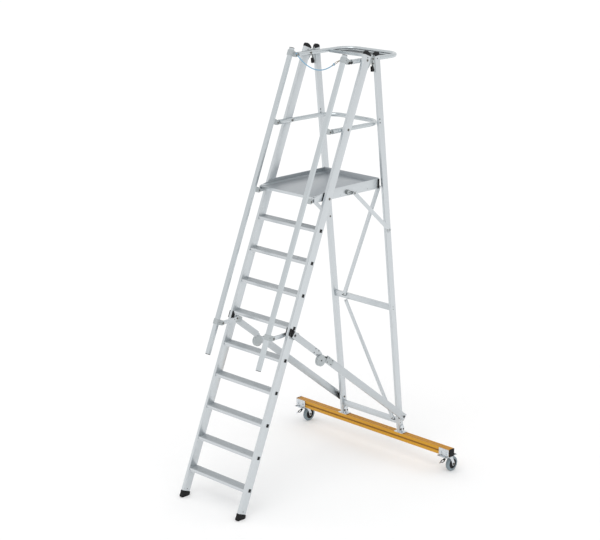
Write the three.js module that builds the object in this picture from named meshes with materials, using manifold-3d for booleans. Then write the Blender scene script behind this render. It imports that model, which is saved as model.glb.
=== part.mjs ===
// Foldable aluminium platform ladder on a caster traverse.
// Millimetres, +X right, +Y towards the caster traverse (rear), +Z up.
// Origin: centre of the bounding box, on the floor.
import * as THREE from 'three';
import { mergeVertices } from 'three/addons/utils/BufferGeometryUtils.js';
import Module from 'manifold-3d';

const wasm = await Module();
wasm.setup();
const { Manifold, Mesh } = wasm;

// ------------------------------------------------------------ driving sizes
const Y_SHIFT = -875.05;        // puts the origin at the middle of the length
const RISE = 240;              // step to step
const GOING = 96.67;           // horizontal step to step
const FIRST = 214.5;           // height of the first step's fixing line
const LEAN = Math.atan2(GOING, RISE);
const HALF_W = 336.8;          // outer face of the stiles
const STILE_T = 25;            // stile thickness (X)
const IN_W = HALF_W - STILE_T; // inner face of the stiles
const FRONT_D = 73;            // front stile depth
const REAR_D = 56;             // rear stile depth
const STEP_D = 80;
const STEP_H = 25;
const RAIL_X = 287.1;          // handrail centre plane
const RAIL_W = 40, RAIL_D = 21;
const TUBE_R = 17.5;           // guard rail tube
const GUARD_X = 291;           // guard rail tube centre plane
const ARM = [-158.5, -3.9];    // stile pivot -> handrail pin
const TONGUE = 12;             // arm thickness at the handrail pins
const BEAM = { y0: 1722, y1: 1782, z0: 156, z1: 221, half: 881 };
const WHEEL_R = 62.5, WHEEL_W = 32;

const tY = Math.sin(LEAN), tZ = Math.cos(LEAN);
const P = (s, n) => [s * tY + n * tZ, FIRST + s * tZ - n * tY];   // along, behind

// ---------------------------------------------------------------- materials
const mat = (color, roughness, metalness) => new THREE.MeshStandardMaterial({ color, roughness, metalness });
const ALU = mat(0xd3d7da, 0.42, 0.55);
const ALU_STEP = mat(0xbfc3c6, 0.5, 0.5);
const ALU_DECK = mat(0xb4b9bc, 0.5, 0.5);
const CAST = mat(0xb3babc, 0.5, 0.4);
const STEEL = mat(0xc4c9cd, 0.35, 0.8);
const OCHRE = mat(0xc69337, 0.45, 0.4);
const BLACK = mat(0x1c1d1f, 0.6, 0.0);
const TYRE = mat(0x7d8a90, 0.8, 0.0);
const ROPE = mat(0xa6c8dc, 0.8, 0.0);

const root = new THREE.Group();
root.name = 'platform_ladder';
const add = (name, geometry, material) => {
  const m = new THREE.Mesh(geometry, material);
  m.name = name;
  m.geometry.translate(0, Y_SHIFT, 0);
  root.add(m);
  return m;
};

// ------------------------------------------------------------------ helpers
const basis = (ex, ey, ez, o) => new THREE.Matrix4().set(
  ex[0], ey[0], ez[0], o[0],
  ex[1], ey[1], ez[1], o[1],
  ex[2], ey[2], ez[2], o[2],
  0, 0, 0, 1);
const shape = (pts) => { const s = new THREE.Shape(); pts.forEach(([a, b], i) => (i ? s.lineTo(a, b) : s.moveTo(a, b))); s.closePath(); return s; };
const rect = (x0, y0, x1, y1) => [[x0, y0], [x1, y0], [x1, y1], [x0, y1]];
const circle = (cx, cy, r, n = 16) => Array.from({ length: n }, (_, i) => [cx + r * Math.cos(2 * Math.PI * (i + 0.5) / n), cy + r * Math.sin(2 * Math.PI * (i + 0.5) / n)]);
const extrude = (pts, depth, holes = []) => {
  const s = shape(pts);
  holes.forEach((h) => { const p = new THREE.Path(); h.forEach(([a, b], i) => (i ? p.lineTo(a, b) : p.moveTo(a, b))); p.closePath(); s.holes.push(p); });
  return new THREE.ExtrudeGeometry(s, { depth, bevelEnabled: false, curveSegments: 8 });
};
// profile in the side plane (Y, Z), run across X from x0 to x1
const side = (pts, x0, x1, holes = []) => extrude(pts, x1 - x0, holes).applyMatrix4(basis([0, 1, 0], [0, 0, 1], [1, 0, 0], [x0, 0, 0]));
// profile in plan (X, Y), run up Z
const plan = (pts, z0, z1, holes = []) => extrude(pts, z1 - z0, holes).translate(0, 0, z0);
// profile in front view (X, Z), run along Y
const front = (pts, y0, y1, holes = []) => extrude(pts, y1 - y0, holes).applyMatrix4(basis([1, 0, 0], [0, 0, 1], [0, -1, 0], [0, y1, 0]));
const box = (x0, y0, z0, x1, y1, z1) => plan(rect(x0, y0, x1, y1), z0, z1);
// hollow rectangular bar in a side plane, open at both ends
const bar = (p0, p1, xc, wx, depth, wall = 2, off = 0) => {
  const d = [p1[0] - p0[0], p1[1] - p0[1]], L = Math.hypot(...d), u = [d[0] / L, d[1] / L];
  const outer = rect(-wx / 2, off - depth / 2, wx / 2, off + depth / 2);
  const hole = wall ? [rect(-wx / 2 + wall, off - depth / 2 + wall, wx / 2 - wall, off + depth / 2 - wall)] : [];
  return extrude(outer, L, hole).applyMatrix4(basis([1, 0, 0], [0, u[1], -u[0]], [0, u[0], u[1]], [xc, p0[0], p0[1]]));
};
const cylX = (y, z, r, x0, x1, n = 16) => side(circle(y, z, r, n), x0, x1);
const slot = (p0, p1, r, n = 8) => {          // stadium outline in a side plane
  const a = Math.atan2(p1[1] - p0[1], p1[0] - p0[0]);
  const pts = [];
  for (let i = 0; i <= n; i++) { const t = a + Math.PI / 2 + Math.PI * i / n; pts.push([p0[0] + r * Math.cos(t), p0[1] + r * Math.sin(t)]); }
  for (let i = 0; i <= n; i++) { const t = a - Math.PI / 2 + Math.PI * i / n; pts.push([p1[0] + r * Math.cos(t), p1[1] + r * Math.sin(t)]); }
  return pts;
};
const toM = (g) => {
  let q = g.index ? g.toNonIndexed() : g.clone();
  q.deleteAttribute('normal'); q.deleteAttribute('uv');
  q = mergeVertices(q, 1e-4);
  return new Manifold(new Mesh({ numProp: 3, vertProperties: new Float32Array(q.attributes.position.array), triVerts: new Uint32Array(q.index.array) }));
};
const fromM = (m) => {
  const r = m.getMesh();
  const g = new THREE.BufferGeometry();
  const v = new Float32Array(r.numVert * 3);
  for (let i = 0; i < r.numVert; i++) for (let k = 0; k < 3; k++) v[i * 3 + k] = r.vertProperties[i * r.numProp + k];
  g.setAttribute('position', new THREE.BufferAttribute(v, 3));
  g.setIndex(Array.from(r.triVerts));
  const o = g.toNonIndexed();
  o.computeVertexNormals();
  return o;
};
const join = (...gs) => fromM(gs.slice(1).reduce((a, g) => a.add(toM(g)), toM(gs[0])));
const cut = (g, ...tools) => fromM(tools.reduce((a, t) => a.subtract(toM(t)), toM(g)));
const mirror = (g) => {
  const q = (g.index ? g.toNonIndexed() : g.clone());
  const p = q.attributes.position;
  for (let i = 0; i < p.count; i++) p.setX(i, -p.getX(i));
  for (let i = 0; i < p.count; i += 3) {
    for (const k of ['getX', 'getY', 'getZ']) { const s = k.replace('get', 'set'); const t = p[k](i + 1); p[s](i + 1, p[k](i + 2)); p[s](i + 2, t); }
  }
  q.deleteAttribute('normal'); q.deleteAttribute('uv');
  q.computeVertexNormals();
  return q;
};
const pair = (name, makeRight, material) => {   // right one as drawn, left one mirrored
  const g = makeRight();
  add(`${name}_left`, mirror(g), material);
  add(`${name}_right`, g, material);
};

// --------------------------------------------------------------- key points
const FOOT_S = -188, TOP_S = 3470;
const PIV_TOP = P(3431.7, -1.8), PIV_MID = P(2876.5, -2.2), PIV_PLAT = P(2325.2, -1.6), PIV_LINK = P(1240.6, -1.7);
const pin = (p) => [p[0] + ARM[0], p[1] + ARM[1]];
const HINGE = [1345, 3403];
const REAR_LEAN = 0.1113;                     // run per rise of the rear frame
const rearY = (z, d = 0) => 1700 - (z - 400) * REAR_LEAN + d;
const SPR_A = [475, 1362.5], SPR_K = [750.6, 1098.4], SPR_B = [1740, 370];
const STRUT_TOP = [1143.6, 2375.1], STRUT_BOT = [1555, 2006], KNOB = [1093, 2387];

// ------------------------------------------------------------- front ladder
pair('stile_front', () => bar(P(FOOT_S, -10), P(TOP_S, -10), HALF_W - STILE_T / 2, STILE_T, FRONT_D, 2.4), ALU);

for (let k = 0; k < 9; k++) {
  const y = k * GOING, z = FIRST + k * RISE, x = IN_W - 0.3;
  const t = 2.4, y0 = y - STEP_D / 2, y1 = y + STEP_D / 2, z0 = z - 8.5, z1 = z + STEP_H - 8.5;
  const outer = [[y0 - 3, z0], [y1, z0], [y1, z1], [y0 + 2, z1], [y0 - 1, z1 - 2]];
  const hole = [[y0 + 1, z0 + t], [y1 - t, z0 + t], [y1 - t, z1 - t], [y0 + 3, z1 - t]];
  add(`step_${k + 1}`, side(outer, -x, x, [hole]), ALU_STEP);
}

pair('foot', () => {
  const a = P(FOOT_S - 0.3, -46.5), b = P(FOOT_S - 0.3, 26.5);
  return side([[a[0] - 3, a[1] - 2], [a[0], a[1]], [b[0], b[1]], [b[0] + 3, b[1] - 4], [-46, 12], [-52, 0], [-118, 0], [-131, 6], [-133, 16], [-122, 34], [-120, 42]].reverse(), IN_W - 2, HALF_W + 2);
}, BLACK);

pair('stile_cap_front', () => {
  const q = [[3470.3, -47], [3470.3, 27], [3479, 26], [3490, 10], [3498, -8], [3501, -25], [3498, -38], [3490, -46]].map(([s, n]) => P(s, n));
  return side(q, IN_W - 0.5, HALF_W + 0.5);
}, BLACK);

// plate fixed behind the top of the front stile, carrying the hinge pin
pair('hinge_plate_front', () => {
  const q = [P(3345, 26.9), P(3362, 33), P(3425, 55), [HINGE[0] - 6, HINGE[1] - 14], [HINGE[0] + 8, HINGE[1] - 12], [HINGE[0] + 13, HINGE[1]], [HINGE[0] + 9, HINGE[1] + 10], [HINGE[0], HINGE[1] + 14], [HINGE[0] - 12, HINGE[1] + 11], P(3464, 34), P(3464, 26.9)];
  const plate = side(q, HALF_W - 14, HALF_W - 7);
  return join(plate, cylX(HINGE[0], HINGE[1], 6, HALF_W - 24.5, HALF_W - 0.5));
}, CAST);

// --------------------------------------------------------------- rear frame
const cosR = Math.cos(Math.atan(REAR_LEAN));
const rc = REAR_D / 2 / cosR;                 // centre line behind the front face
const rearC = (z) => [rearY(z, rc), z];
pair('stile_rear', () => bar(rearC(231), rearC(3424), HALF_W - STILE_T / 2, STILE_T, REAR_D, 2.4), ALU);

pair('stile_cap_rear', () => {
  const c = rearC(3424.3), u = [-REAR_LEAN * cosR, cosR], v = [cosR, REAR_LEAN * cosR];
  const q = [[0, -27], [0, 27], [8, 27], [20, 22], [29, 8], [31, -6], [25, -18], [12, -27]].map(([a, b]) => [c[0] + a * u[0] + b * v[0], c[1] + a * u[1] + b * v[1]]);
  return side(q, IN_W - 0.5, HALF_W + 0.5);
}, BLACK);

pair('hinge_plate_rear', () => {
  const f = (z) => [rearY(z, -0.5), z];
  const q = [f(3296), f(3432), [HINGE[0] + 8, HINGE[1] + 12], [HINGE[0] - 4, HINGE[1] + 12], [HINGE[0] - 12, HINGE[1] + 4], [HINGE[0] - 12, HINGE[1] - 5], [HINGE[0] - 5, HINGE[1] - 12], [HINGE[0] + 6, HINGE[1] - 60]];
  const hole = circle(HINGE[0], HINGE[1], 6.6, 16);
  return cut(join(side(q, HALF_W - 22, HALF_W - 14.6), side(q, HALF_W - 6.4, HALF_W - 2.5), side([f(3300), f(3340), [rearY(3340, -9), 3340], [rearY(3300, -9), 3300]].reverse(), HALF_W - 22, HALF_W - 2.5)),
    side(hole, HALF_W - 30, HALF_W + 5));
}, CAST);

const crossBar = (z, h) => {
  const x = IN_W - 0.3, w = 2;
  const c = [[rearY(z - h / 2, 12), z - h / 2], [rearY(z - h / 2, 37), z - h / 2], [rearY(z + h / 2, 37), z + h / 2], [rearY(z + h / 2, 12), z + h / 2]];
  const i = [[rearY(z - h / 2, 12) + w, z - h / 2 + w], [rearY(z - h / 2, 37) - w, z - h / 2 + w], [rearY(z + h / 2, 37) - w, z + h / 2 - w], [rearY(z + h / 2, 12) + w, z + h / 2 - w]];
  return side(c, -x, x, [i]);
};
const Z_MID = 1336, Z_LOW = 322;
add('cross_bar_mid', crossBar(Z_MID, 50), ALU);
add('cross_bar_low', crossBar(Z_LOW, 50), ALU);

// flat diagonal braces lying in the plane of the rear frame
const brace = (xa, za, xb, zb, w, d0, d1) => {
  const d = [xb - xa, (zb - za)], L = Math.hypot(...d), px = -d[1] / L * w / 2, pz = d[0] / L * w / 2;
  const q = [[xa + px, za + pz], [xa - px, za - pz], [xb - px, zb - pz], [xb + px, zb + pz]];
  const g = extrude(q, d1 - d0);
  // shear the flat bar into the leaning plane
  const m = basis([1, 0, 0], [0, -REAR_LEAN, 1], [0, -1, 0], [0, 1700 + 400 * REAR_LEAN + d1, 0]);
  return g.applyMatrix4(m);
};
add('diagonal_upper', brace(285, 2376, -199.4, Z_MID + 4, 35, 1.5, 11.2), ALU);
add('diagonal_lower', brace(-186.7, Z_MID - 32, 273.7, Z_LOW + 8, 35, 1.5, 11.2), ALU);

// --------------------------------------------------------- traverse, casters
{
  const { y0, y1, z0, z1, half } = BEAM, ym = (y0 + y1) / 2, zm = (z0 + z1) / 2;
  const g = 5, w = 7;                          // groove depth and half width
  const outer = [
    [y0, z0], [y1, z0], [y1, zm - w], [y1 - g, zm - w + 2], [y1 - g, zm + w - 2], [y1, zm + w], [y1, z1],
    [ym + w + 12, z1], [ym + w + 10, z1 - g], [ym + w, z1 - g], [ym + w - 2, z1], [ym - w + 2, z1], [ym - w, z1 - g], [ym - w - 10, z1 - g], [ym - w - 12, z1],
    [y0, z1], [y0, zm + w], [y0 + g, zm + w - 2], [y0 + g, zm - w + 2], [y0, zm - w]];
  const i = 9;
  add('traverse_beam', side(outer, -half, half, [rect(y0 + i, z0 + i, y1 - i, z1 - i)]), OCHRE);
  pair('beam_cap', () => join(side(rect(y0 - 0.5, z0 - 0.5, y1 + 0.5, z1 + 0.5), half + 0.3, half + 5), side(rect(y0 + i + 0.4, z0 + i + 0.4, y1 - i - 0.4, z1 - i - 0.4), half - 14, half + 1)), BLACK);

  pair('base_clamp', () => {
    const xo = HALF_W + 0.5, xi = IN_W - 0.5, zt = z1 + 0.4;
    const flange = join(box(xi - 34, y0 - 2, zt, xo + 34, y1 + 2, zt + 5), side([[y0 + 4, zt + 4], [y1 - 4, zt + 4], [y1 - 6, zt + 44], [ym + 14, zt + 62], [ym - 14, zt + 62], [y0 + 4, zt + 44]], xo, xo + 4.5),
      side([[y0 + 4, zt + 4], [y1 - 4, zt + 4], [y1 - 6, zt + 44], [ym + 14, zt + 62], [ym - 14, zt + 62], [y0 + 4, zt + 44]], xi - 4.5, xi));
    return flange;
  }, STEEL);

  pair('caster_bracket', () => {
    const x0 = 776, x1 = 880, zb = z0 - 0.4;
    const plate = box(x0, 1692, zb - 5, x1, 1828, zb);
    const fr = box(x0, y0 - 5.4, zb - 1, x1, y0 - 0.6, z0 + 62), re = box(x0, y1 + 0.6, zb - 1, x1, y1 + 5.4, z0 + 62);
    return join(plate, fr, re);
  }, STEEL);
}

const CAST_X = 828.3, SWIVEL_Y = 1775, AXLE_Y = 1820.8, AXLE_Z = WHEEL_R * Math.cos(Math.PI / 36);
const forkTop = BEAM.z0 - 0.4 - 5 - 0.5;
for (const [sd, sx] of [['left', -1], ['right', 1]]) {
  const cx = sx * CAST_X;
  const leg = [[1748, forkTop - 10], [1800, forkTop - 10], [1812, 118], [1834, AXLE_Z + 8], [1834, AXLE_Z - 6], [1826, AXLE_Z - 15], [1814, AXLE_Z - 15], [1806, AXLE_Z - 6], [1798, 88], [1776, 122], [1748, 136]].reverse();
  const race = plan(circle(cx, SWIVEL_Y, 27, 20), forkTop - 9, forkTop);
  const crown = box(cx - 23, 1748, forkTop - 13, cx + 23, 1802, forkTop - 8.5);
  const axle = cylX(AXLE_Y, AXLE_Z, 6, cx - 25, cx + 25, 12);
  add(`caster_fork_${sd}`, join(race, crown, side(leg, cx - 23, cx - 19.5), side(leg, cx + 19.5, cx + 23), axle), STEEL);
  // wheel turned on its axle: tyre with rounded shoulders and a recessed hub
  const hw = WHEEL_W / 2, prof = [[6.6, -hw + 2], [17, -hw + 2], [17, -hw + 5], [36, -hw + 5], [38, -hw], [54, -hw + 0.5], [60, -hw + 5], [WHEEL_R, -6], [WHEEL_R, 6], [60, hw - 5], [54, hw - 0.5], [38, hw], [36, hw - 5], [17, hw - 5], [17, hw - 2], [6.6, hw - 2]];
  const seg = 36, pos = [], idx = [], n = prof.length;
  for (let i = 0; i < seg; i++) { const a = 2 * Math.PI * (i - 0.5) / seg - Math.PI / 2; for (const [r, x] of prof) pos.push(cx + x, AXLE_Y + r * Math.cos(a), AXLE_Z + r * Math.sin(a)); }
  for (let i = 0; i < seg; i++) for (let j = 0; j < n; j++) { const a = i * n + j, b = i * n + (j + 1) % n, c = ((i + 1) % seg) * n + j, d = ((i + 1) % seg) * n + (j + 1) % n; idx.push(a, c, b, b, c, d); }
  let g = new THREE.BufferGeometry(); g.setAttribute('position', new THREE.Float32BufferAttribute(pos, 3)); g.setIndex(idx);
  g = g.toNonIndexed(); g.computeVertexNormals();
  if (toM(g).volume() < 0) { const ii = idx.slice(); for (let i = 0; i < ii.length; i += 3) { const t = ii[i]; ii[i] = ii[i + 1]; ii[i + 1] = t; } g = new THREE.BufferGeometry(); g.setAttribute('position', new THREE.Float32BufferAttribute(pos, 3)); g.setIndex(ii); g = g.toNonIndexed(); g.computeVertexNormals(); }
  add(`caster_wheel_${sd}`, g, TYRE);
  const pedal = side([[1684, 108], [1688, 103.5], [1722, 115], [1744, 128], [1744, 134], [1738, 134], [1716, 122.5], [1684, 112.5]], cx - 16, cx + 16);
  add(`brake_pedal_${sd}`, pedal, BLACK);
}

// ------------------------------------------------------ fork arm end pieces
const T0 = RAIL_X - TONGUE / 2, T1 = RAIL_X + TONGUE / 2;
const tongue = (p, len, h = 26, back = 16) => {
  const q = pin(p), y0 = q[0] - back, y1 = q[0] + len;
  return side([[y0 + 6, q[1] - h / 2], [y1, q[1] - h / 2], [y1, q[1] + h / 2], [y0 + 6, q[1] + h / 2], [y0, q[1] + h / 4], [y0, q[1] - h / 4]], T0, T1, [circle(q[0], q[1], 5.8, 16)]);
};

// ----------------------------------------------------------------- platform
pair('platform_side', () => {
  const q = pin(PIV_PLAT), z0 = 2356, z1 = 2438;
  const board = side([[q[0] + 24, 2354], [q[0] + 40, z0], [1458, z0], [1466, z0 + 8], [1466, z1], [905, z1 - 3], [868, z1 - 9], [q[0] + 24, 2398]], 300.2, 304.6);
  const arm = tongue(PIV_PLAT, 110);
  const spacer = side(rect(q[0] + 34, q[1] - 12, q[0] + 106, q[1] + 12), T1 - 1, 301);
  const standoff = join(cylX(...STRUT_TOP, 12, 304, 339.4, 14), cylX(...KNOB, 19, 304, 326, 20));
  return join(board, arm, spacer, standoff);
}, ALU);
{
  const y0 = 734, y1 = 1466, z = 2400;
  const tray = side([[y0, z - 22], [y0 + 3, z - 22], [y0 + 3, z - 3.5], [y1 - 3, z - 3.5], [y1 - 3, z - 34], [y1, z - 34], [y1, z + 42], [y1 - 3, z + 42], [y1 - 3, z], [y0, z]], -299.8, 299.8);
  // room for the arm and the spacer of each side board
  const qx = pin(PIV_PLAT);
  const clear = (s) => box(s > 0 ? T0 - 6 : -310, y0 - 2, qx[1] - 20, s > 0 ? 310 : -(T0 - 6), qx[0] + 118, z - 4.5);
  add('platform_deck', cut(tray, clear(1), clear(-1)), ALU_DECK);
}
// struts from the platform side down to the rear stiles
pair('strut', () => {
  const a = STRUT_TOP, b = STRUT_BOT, xa = 341.9, xb = 341.9, w = 34, t = 4;
  const d = [b[0] - a[0], b[1] - a[1]], L = Math.hypot(...d), u = [d[0] / L, d[1] / L];
  const pa = [a[0] - u[0] * 14, a[1] - u[1] * 14], pb = [b[0] + u[0] * 14, b[1] + u[1] * 14];
  const sl = (xb - xa) / L;                    // sideways run of the strut
  const g = extrude(rect(0, -w / 2, L + 28, w / 2), t).applyMatrix4(basis([sl, u[0], u[1]], [0, -u[1], u[0]], [1, 0, 0], [xa - sl * 14 - t / 2, pa[0], pa[1]]));
  // bolt heads at both ends and the spacer on the rear stile
  return join(g, cylX(...a, 7.5, 343, 348.4, 12), cylX(...b, 9, 337.2, 348.4, 12));
}, ALU);

// -------------------------------------------------------------- guard rails
const guard = (piv, yRear, R, rad) => {
  const q = pin(piv), z = q[1] + (piv[1] - q[1]) * 0.5, y0 = q[0] + (rad < TUBE_R ? 30 : 34), X = GUARD_X;
  const path = new THREE.CurvePath(), v = (x, y) => new THREE.Vector3(x, y, z);
  const pts = [v(-X, y0), v(-X, yRear - R)];
  const n = 7;
  for (let i = 1; i <= n; i++) { const a = Math.PI - Math.PI / 2 * i / n; pts.push(v(-X + R + R * Math.cos(a), yRear - R + R * Math.sin(a))); }
  for (let i = 0; i <= n; i++) { const a = Math.PI / 2 - Math.PI / 2 * i / n; pts.push(v(X - R + R * Math.cos(a), yRear - R + R * Math.sin(a))); }
  pts.push(v(X, y0));
  // swept ring: one 14 sided section at each point, square to the bisector
  const m = 14, pos = [], idx = [];
  pts.forEach((p, i) => {
    const a = pts[Math.max(0, i - 1)], b = pts[Math.min(pts.length - 1, i + 1)];
    const d = b.clone().sub(a).normalize(), s = new THREE.Vector3(-d.y, d.x, 0);
    let k = 1;
    if (i > 0 && i < pts.length - 1) { const d1 = p.clone().sub(pts[i - 1]).normalize(); k = 1 / Math.max(0.5, d1.dot(d)); }
    for (let j = 0; j < m; j++) { const t = 2 * Math.PI * (j + 0.5) / m; pos.push(p.x + s.x * rad * k * Math.cos(t), p.y + s.y * rad * k * Math.cos(t), p.z + rad * Math.sin(t)); }
  });
  const N = pts.length;
  for (let i = 0; i < N - 1; i++) for (let j = 0; j < m; j++) { const a = i * m + j, b = i * m + (j + 1) % m; idx.push(a, b, a + m, b, b + m, a + m); }
  for (let j = 1; j < m - 1; j++) { idx.push(0, j + 1, j); const e = (N - 1) * m; idx.push(e, e + j, e + j + 1); }
  const build = (ii) => { const g = new THREE.BufferGeometry(); g.setAttribute('position', new THREE.Float32BufferAttribute(pos, 3)); g.setIndex(ii); return g.toNonIndexed(); };
  let g = build(idx);
  if (toM(g).volume() < 0) { const ii = idx.slice(); for (let i = 0; i < ii.length; i += 3) { const t = ii[i]; ii[i] = ii[i + 1]; ii[i + 1] = t; } g = build(ii); }
  return g;
};
const arms = (piv) => { const t = tongue(piv, 60); return [t, mirror(t)]; };
const sleeve = (piv, sx) => { const q = pin(piv), z = q[1] + (piv[1] - q[1]) * 0.5; return front(circle(sx * GUARD_X, z, 19.6, 14), q[0] + 22, piv[0] + 12, [circle(sx * GUARD_X, z, 16.4, 14)]); };
const rail = (piv, yRear, R) => join(cut(guard(piv, yRear, R, TUBE_R), guard(piv, yRear, R, TUBE_R - 2.2)), ...arms(piv), sleeve(piv, 1), sleeve(piv, -1));
add('mid_rail', rail(PIV_MID, 1515, 150), ALU);
add('top_rail', rail(PIV_TOP, 1722, 130), ALU);
// shallow tool tray hung between the arms of the top rail
{
  const z = (PIV_TOP[1] + pin(PIV_TOP)[1]) / 2, y0 = 1488, y1 = 1700, xi = 272.4, R = 111, n = 5;
  const out = [[-xi, y0], [xi, y0]];
  for (let i = 0; i <= n; i++) { const a = Math.PI / 2 * i / n; out.push([xi - R + R * Math.cos(a), y1 - R + R * Math.sin(a)]); }
  for (let i = 0; i <= n; i++) { const a = Math.PI / 2 + Math.PI / 2 * i / n; out.push([-xi + R + R * Math.cos(a), y1 - R + R * Math.sin(a)]); }
  add('tool_tray', join(plan(out, z - 16, z - 13), box(-xi, y0, z - 14, xi, y0 + 3, z + 9)), ALU_DECK);
}

// ---------------------------------------------------------------- low links
pair('lower_link', () => {
  const t = tongue(PIV_LINK, 100, 30, 17), a = PIV_LINK;
  const eye = side(slot([a[0] - 66, a[1] - 1.6], [a[0], a[1]], 15, 6), T0, T1);
  const boss = cylX(a[0], a[1], 9, T1 - 1, IN_W - 0.6, 14);
  return join(t, eye, boss);
}, ALU);

// ---------------------------------------------------------------- handrails
pair('handrail', () => {
  const s0 = 915, s1 = 3407, n0 = -210, w = 2;
  let m = toM(bar(P(s0, n0), P(s1, n0), RAIL_X, RAIL_W, RAIL_D, 0));
  const lugX0 = T0 - 0.5 - 4, lugX1 = T1 + 0.5 + 4;
  for (const p of [PIV_LINK, PIV_PLAT, PIV_MID, PIV_TOP]) {
    const q = pin(p);
    const s = (q[0]) * tY + (q[1] - FIRST) * tZ, n = q[0] * tZ - (q[1] - FIRST) * tY;
    if (p === PIV_LINK || p === PIV_TOP) m = m.add(toM(bar(P(s - 22, n0), P(s + 22, n0), RAIL_X, RAIL_W + 8, RAIL_D + 8, 0)));
    else m = m.add(toM(bar(P(s - 18, n0 + 14.5), P(s + 18, n0 + 14.5), RAIL_X, 30, 9, 0)));
    const lug = [P(s - 22, n0 + 8), P(s - 20, n - 4), P(s - 14, n + 10), P(s, n + 15), P(s + 12, n + 11), P(s + 20, n - 8), P(s + 22, n0 + 8)].reverse();
    m = m.add(toM(side(lug, lugX0, T0 - 0.5))).add(toM(side(lug, T1 + 0.5, lugX1)));
    m = m.add(toM(cylX(q[0], q[1], 5.2, lugX0 - 3, lugX1 + 1.5, 12)));
  }
  m = m.subtract(toM(bar(P(s0 - 5, n0), P(s1 + 5, n0), RAIL_X, RAIL_W - 2 * w, RAIL_D - 2 * w, 0)));
  return fromM(m);
}, ALU);

// ------------------------------------------------------------ spreader bars
// both bars lie on one line from pivot to pivot; the knuckle hangs under it
const SPR_L = Math.hypot(SPR_B[0] - SPR_A[0], SPR_B[1] - SPR_A[1]);
const SPR_U = [(SPR_B[0] - SPR_A[0]) / SPR_L, (SPR_B[1] - SPR_A[1]) / SPR_L];
const spr = (f, g) => [SPR_A[0] + SPR_U[0] * f - SPR_U[1] * g, SPR_A[1] + SPR_U[1] * f + SPR_U[0] * g];
pair('spreader_upper', () => {
  const x = HALF_W + 5;
  const body = bar(spr(-20, 0), spr(332, 0), x + 7, 14, 52, 2.2);
  const web = side([spr(262, -21), spr(318, -23), spr(340, -40), spr(388, -48), spr(396, -8), spr(360, 18), spr(340, 22), spr(262, 21)], x + 9, x + 14.6);
  const disc = side(circle(SPR_K[0], SPR_K[1], 47, 28), HALF_W + 9, HALF_W + 19.6);
  return join(body, web, disc);
}, ALU);
pair('spreader_lower', () => {
  const x = HALF_W + 20.4;
  const body = bar(spr(428, -2), spr(SPR_L + 18, -2), x + 7.3, 14.6, 58, 2.2);
  const web = side([spr(372, -40), spr(388, -82), spr(428, -27), spr(508, -26), spr(508, 22), spr(432, 22), spr(404, 8), spr(380, 4)], x, x + 8);
  const disc = side(circle(SPR_K[0], SPR_K[1], 47, 28), x, HALF_W + 32);
  return join(body, web, disc);
}, ALU);

// -------------------------------------------------------------- safety rope
{
  const pts = [];
  for (let i = 0; i <= 24; i++) {
    const x = -256 + 426 * i / 24;
    pts.push(new THREE.Vector3(x, 1102 - 0.0687 * (x + 262), 3309.1 + 0.0618 * x + 0.0016759 * x * x));
  }
  const curve = new THREE.CatmullRomCurve3(pts);
  const sec = shape(circle(0, 0, 4, 8));
  add('safety_rope', new THREE.ExtrudeGeometry(sec, { steps: 48, extrudePath: curve, bevelEnabled: false }), ROPE);
  add('rope_hook', front([[174, 3376.5], [179, 3370], [262.3, 3420.5], [262.3, 3428.5]], 1065, 1074), STEEL);
}

export default root;
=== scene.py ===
import math
import bmesh
import bpy
from mathutils import Matrix, Vector


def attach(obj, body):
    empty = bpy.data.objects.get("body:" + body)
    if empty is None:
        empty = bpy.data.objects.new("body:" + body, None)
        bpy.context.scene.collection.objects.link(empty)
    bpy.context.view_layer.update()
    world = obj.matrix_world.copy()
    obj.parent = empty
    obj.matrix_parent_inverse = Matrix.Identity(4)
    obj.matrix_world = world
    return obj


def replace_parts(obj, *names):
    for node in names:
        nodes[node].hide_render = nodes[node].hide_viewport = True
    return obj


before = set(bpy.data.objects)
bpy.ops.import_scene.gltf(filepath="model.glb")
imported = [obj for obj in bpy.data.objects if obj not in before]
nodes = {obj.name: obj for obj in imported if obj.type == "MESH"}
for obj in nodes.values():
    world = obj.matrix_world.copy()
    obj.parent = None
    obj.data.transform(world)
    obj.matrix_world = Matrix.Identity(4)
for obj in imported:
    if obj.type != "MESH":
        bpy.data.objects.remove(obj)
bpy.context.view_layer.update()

# ------------------------------------------------------------------ camera
SY = -875.05                                   # mm, origin shift along Y, as in the solids
AZ, EL = math.radians(45.066), math.radians(15.514)
cam = bpy.data.objects.new("camera", bpy.data.cameras.new("camera"))
bpy.context.scene.collection.objects.link(cam)
cam.data.lens, cam.data.sensor_width = 99.69, 36
cam.data.clip_start, cam.data.clip_end = 0.5, 400
cam.location = (8.9949, (-8092.4 + SY) / 1000, 5.2641)
back = Vector((math.sin(AZ) * math.cos(EL), -math.cos(AZ) * math.cos(EL), math.sin(EL)))
cam.rotation_mode = "QUATERNION"
cam.rotation_quaternion = (-back).to_track_quat("-Z", "Y")
bpy.context.scene.camera = cam
bpy.context.scene.view_settings.view_transform = "Standard"
bpy.context.scene.view_settings.look = "None"

# ------------------------------------------------- the sizes of the solids
RISE, GOING, FIRST = 240.0, 96.67, 214.5
LEAN = math.atan2(GOING, RISE)
TY, TZ = math.sin(LEAN), math.cos(LEAN)
HALF_W, STILE_T = 336.8, 25.0
IN_W = HALF_W - STILE_T
REAR_LEAN = 0.1113
RAIL_X = 287.1


def P(s, n):
    return (s * TY + n * TZ, FIRST + s * TZ - n * TY)


def rear_y(z, d=0.0):
    return 1700 - (z - 400) * REAR_LEAN + d


PIV = {"top": P(3431.7, -1.8), "mid": P(2876.5, -2.2), "plat": P(2325.2, -1.6), "link": P(1240.6, -1.7)}
ARM = (-158.5, -3.9)


def pin(p):
    return (p[0] + ARM[0], p[1] + ARM[1])


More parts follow.
